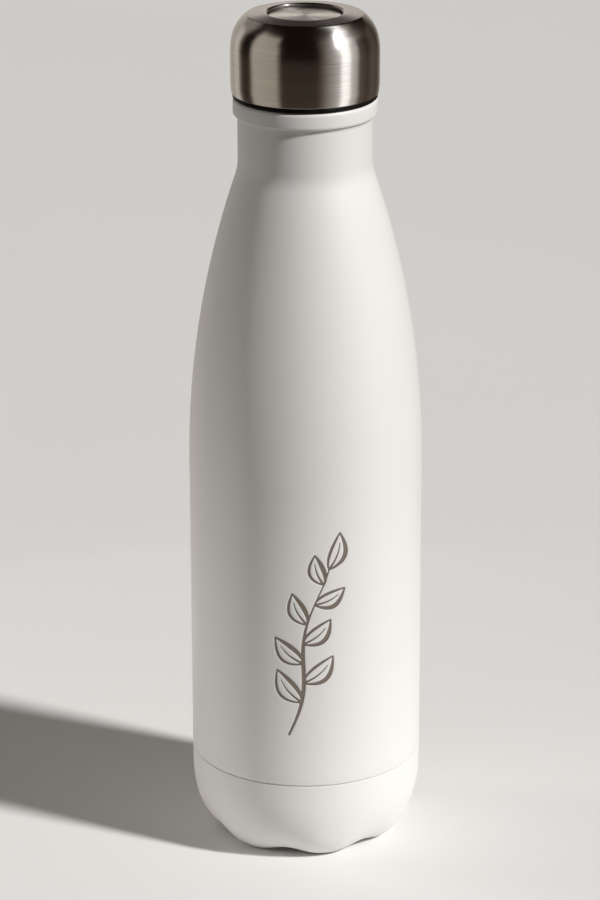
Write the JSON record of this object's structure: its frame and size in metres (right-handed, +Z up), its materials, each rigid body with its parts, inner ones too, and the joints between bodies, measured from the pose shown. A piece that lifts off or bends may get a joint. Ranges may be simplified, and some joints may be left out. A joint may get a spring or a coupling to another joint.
{
  "type": "insulated water bottle",
  "caption": "Slim double-walled steel vacuum bottle with a waved base, a long tapering shoulder, a narrow neck and a domed screw cap on an insulated plug.",
  "frame": {"origin": "middle of the feet, on the surface that the bottle stands on", "axes": "+Z up along the bottle's axis to the cap; -Y is the front, where the engraving is; one of the seven valleys in the waved base points along +X"},
  "size_m": [0.07, 0.07, 0.2565],
  "materials": {
    "powder_coat": "matte",
    "vessel_steel": "satin",
    "cap_steel": "satin",
    "getter_steel": "satin",
    "getter_metal": "matte",
    "foil": "polished",
    "solder_glass": "gloss",
    "adhesive": "matte",
    "black_silicone": "satin",
    "black_plastic": "satin",
    "foam": "matte"
  },
  "bodies": {
    "bottle": {"outer_shell": "powder_coat", "inner_vessel": "vessel_steel", "vessel_floor": "vessel_steel", "reflective_foil": "foil", "base_cup": "powder_coat", "port_seal": "solder_glass", "port_cover": "powder_coat", "cover_adhesive": "adhesive", "getter_strap": "getter_steel", "getter_pellet": "getter_metal"},
    "seal": {"lip_seal": "black_silicone"},
    "cap": {"plug_body": "black_plastic", "plug_end_cap": "black_plastic", "foam_core": "foam", "plug_lid": "black_plastic", "shell_glue": "adhesive", "cap_shell": "cap_steel", "disc_adhesive": "adhesive", "top_disc": "cap_steel"}
  },
  "joints": [
    {"name": "cap_rise", "type": "slide", "parent": "bottle", "child": "seal", "axis": [0, 0, 1], "range_m": [0, 0.0256]},
    {"name": "cap_turn", "type": "hinge", "parent": "seal", "child": "cap", "pos_m": [0, 0, 0.2315], "axis": [0, 0, 1], "range_deg": [0, 1152]}
  ],
  "couplings": [
    {"joint": "cap_rise", "follows": "cap_turn", "m_per_rad": 0.0012732}
  ]
}
